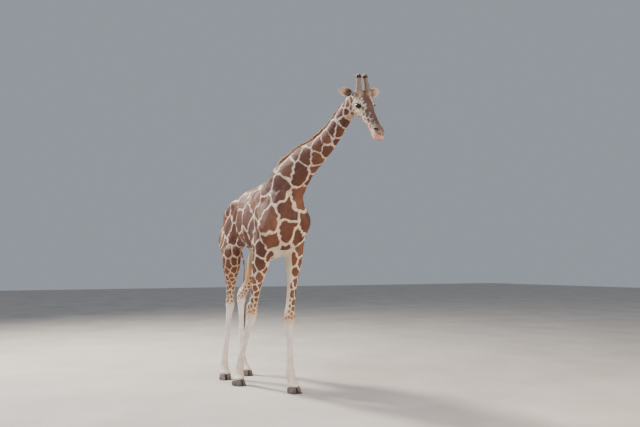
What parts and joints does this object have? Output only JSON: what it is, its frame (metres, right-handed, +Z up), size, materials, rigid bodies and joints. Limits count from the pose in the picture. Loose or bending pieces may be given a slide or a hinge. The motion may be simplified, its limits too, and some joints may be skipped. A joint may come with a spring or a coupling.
{
  "type": "reticulated giraffe",
  "caption": "Life-size still model of an adult reticulated giraffe in a slow walking stride, neck reaching forward and head turned, with modelled hooves, ears, horns and tail tassel.",
  "frame": {"origin": "on the floor, under the middle of the overall box", "axes": "+X from rump to chest, +Y to the animal's left, +Z up from the hoof soles"},
  "size_m": [3.3438, 1.1502, 3.8414],
  "materials": {
    "coat": "short hair, satin",
    "mane_hair": "stiff hair",
    "tail_hair": "long coarse hair",
    "ossicone_skin": "short hair",
    "eye": "wet",
    "hoof_horn": "worn horn"
  },
  "bodies": {
    "root": {"trunk": "coat", "neck": "coat", "head": "coat", "mane": "mane_hair", "tail": "coat", "tail_tuft": "tail_hair", "foreleg_left": "coat", "foreleg_right": "coat", "hindleg_left": "coat", "hindleg_right": "coat", "ear_left": "coat", "ear_right": "coat", "ossicone_left": "ossicone_skin", "ossicone_right": "ossicone_skin", "eye_left": "eye", "eye_right": "eye", "hoof_fore_left_outer": "hoof_horn", "hoof_fore_left_inner": "hoof_horn", "hoof_fore_right_outer": "hoof_horn", "hoof_fore_right_inner": "hoof_horn", "hoof_hind_left_outer": "hoof_horn", "hoof_hind_left_inner": "hoof_horn", "hoof_hind_right_outer": "hoof_horn", "hoof_hind_right_inner": "hoof_horn"}
  },
  "joints": []
}
